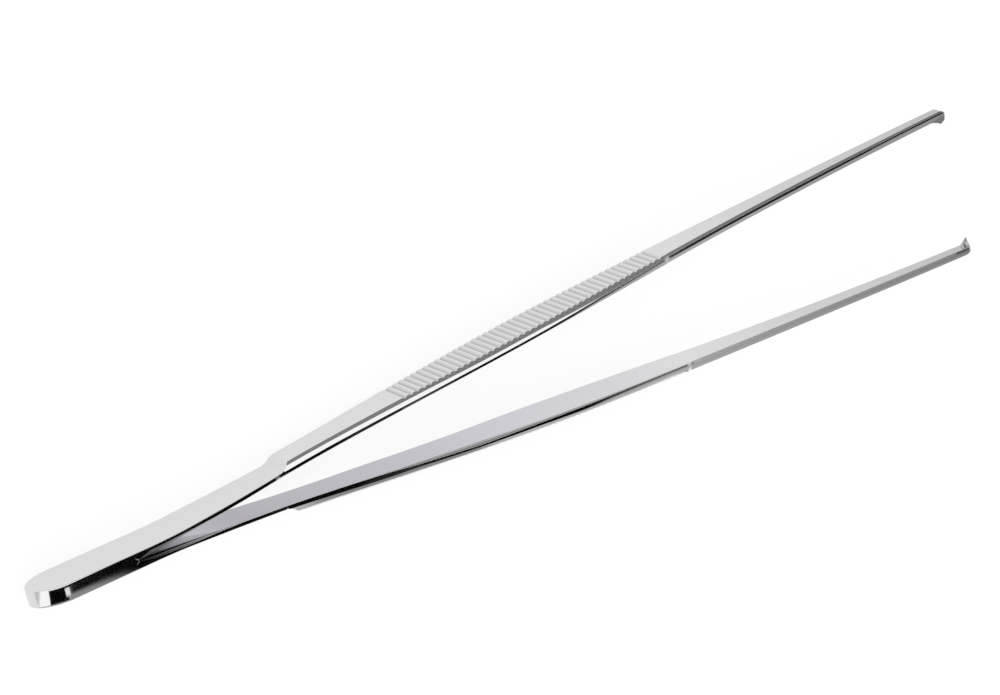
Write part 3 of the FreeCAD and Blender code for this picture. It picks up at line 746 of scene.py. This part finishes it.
def room_light(world, studio):
    """A white tent with a black flag overhead and greyer sides, which only mirrors show; all else is lit evenly."""
    world.use_nodes = True
    n = Nodes(world.node_tree)
    place = n.add("ShaderNodeTexCoord").outputs["Generated"]
    parts = n.add("ShaderNodeSeparateXYZ", {"Vector": place}).outputs
    x, y, z = parts["X"], parts["Y"], parts["Z"]
    slant = sums(n, "MULTIPLY", sums(n, "MAXIMUM", sums(n, "SUBTRACT", x, SLANT_START), 0.0), SLANT)
    axes = {"x": x, "y": y, "z": z, "low": sums(n, "SUBTRACT", y, slant)}
    near_side = ramp_of(n, axes["low"], -0.528, -0.60, 0.58 * studio.near_side, studio.near_side)
    levels = {
        "far_side": ramp_of(n, z, 0.0, 0.45, 0.95, studio.far_side),
        "near_side": sums(n, "MULTIPLY", near_side, ramp_of(n, y, -0.65, -0.80, 1.0, 0.85)),
        "flag": studio.flag,
        "grey_card": GREY_CARD * studio.near_side,
        "white_card": WHITE_CARD * studio.tent,
        "end_side": studio.end_side,
    }
    level = studio.tent
    for name, steps in TENT_PARTS:
        share = bounded(n, [(axes[axis], start, end) for axis, start, end in steps])
        level = laid_over(n, share, level, levels[name])
    mirrored = n.add("ShaderNodeBackground", {"Color": (1, 1, 1, 1), "Strength": level}).outputs["Background"]
    even = n.add("ShaderNodeBackground", {"Color": (1, 1, 1, 1), "Strength": studio.sky_strength}).outputs["Background"]
    glossy = n.add("ShaderNodeLightPath").outputs["Is Glossy Ray"]
    both = n.add("ShaderNodeMixShader", {"Fac": glossy})
    n.tree.links.new(even, both.inputs[1])
    n.tree.links.new(mirrored, both.inputs[2])
    n.add("ShaderNodeOutputWorld", {"Surface": both.outputs["Shader"]})


class FORCEPS_OT_body(bpy.types.Operator):
    """Build the polished forceps in place of its plain solid"""

    bl_idname = "forceps.body"
    bl_label = "Forceps"

    def execute(self, context):
        mesh = closed_mesh("forceps", *forceps_mesh(context.scene.forceps_shape, context.scene.forceps_finish))
        piece = bpy.data.objects.new("forceps", mesh)
        context.scene.collection.objects.link(piece)
        even = piece.modifiers.new("flat_faces_stay_flat", "WEIGHTED_NORMAL")
        even.keep_sharp = True
        even.weight = 100
        mesh.materials.append(steel_material(context.scene.forceps_finish))
        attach(piece, "root")
        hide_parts(NODE)
        return {"FINISHED"}


class FORCEPS_OT_stage(bpy.types.Operator):
    """Build the floor, the lights and the camera"""

    bl_idname = "forceps.stage"
    bl_label = "Stage"

    def execute(self, context):
        studio = context.scene.forceps_studio
        scene = context.scene
        half = studio.floor_size / 2
        mesh = bpy.data.meshes.new("floor")
        corners = [(-half, -half, 0), (half, -half, 0), (half, half, 0), (-half, half, 0)]
        mesh.from_pydata(corners, [], [(0, 1, 2, 3)])
        floor = bpy.data.objects.new("floor", mesh)
        mesh.materials.append(floor_material(studio))
        scene.collection.objects.link(floor)

        world = bpy.data.worlds.new("room")
        scene.world = world
        room_light(world, studio)

        lens = bpy.data.cameras.new("camera")
        lens.sensor_width = 36.0
        lens.lens = studio.lens
        lens.clip_start = 0.05
        lens.clip_end = 20.0
        camera = bpy.data.objects.new("camera", lens)
        turn = Matrix((CAMERA_RIGHT, -CAMERA_DOWN, -CAMERA_FORWARD)).transposed()
        camera.matrix_world = Matrix.Translation(CAMERA_PLACE) @ turn.to_4x4()
        scene.collection.objects.link(camera)
        scene.camera = camera
        scene.view_settings.view_transform = "Standard"
        return {"FINISHED"}


class FORCEPS_PT_panel(bpy.types.Panel):
    """Sizes, finish and stage of the forceps"""

    bl_idname = "FORCEPS_PT_panel"
    bl_label = "Thumb Forceps"
    bl_space_type = "VIEW_3D"
    bl_region_type = "UI"
    bl_category = "Forceps"

    def draw(self, context):
        for group in (context.scene.forceps_shape, context.scene.forceps_finish, context.scene.forceps_studio):
            box = self.layout.box()
            for name in group.__annotations__:
                box.prop(group, name)
        for operator in OPERATORS:
            self.layout.operator(operator.bl_idname)


OPERATORS = (FORCEPS_OT_body, FORCEPS_OT_stage)
CLASSES = (ForcepsShape, SteelFinish, StudioStage, *OPERATORS, FORCEPS_PT_panel)


def register():
    for kind in CLASSES:
        bpy.utils.register_class(kind)
    bpy.types.Scene.forceps_shape = PointerProperty(type=ForcepsShape)
    bpy.types.Scene.forceps_finish = PointerProperty(type=SteelFinish)
    bpy.types.Scene.forceps_studio = PointerProperty(type=StudioStage)


def unregister():
    del bpy.types.Scene.forceps_studio
    del bpy.types.Scene.forceps_finish
    del bpy.types.Scene.forceps_shape
    for kind in reversed(CLASSES):
        bpy.utils.unregister_class(kind)


def main():
    register()
    bpy.ops.forceps.body()
    bpy.ops.forceps.stage()


if __name__ == "__main__":
    main()
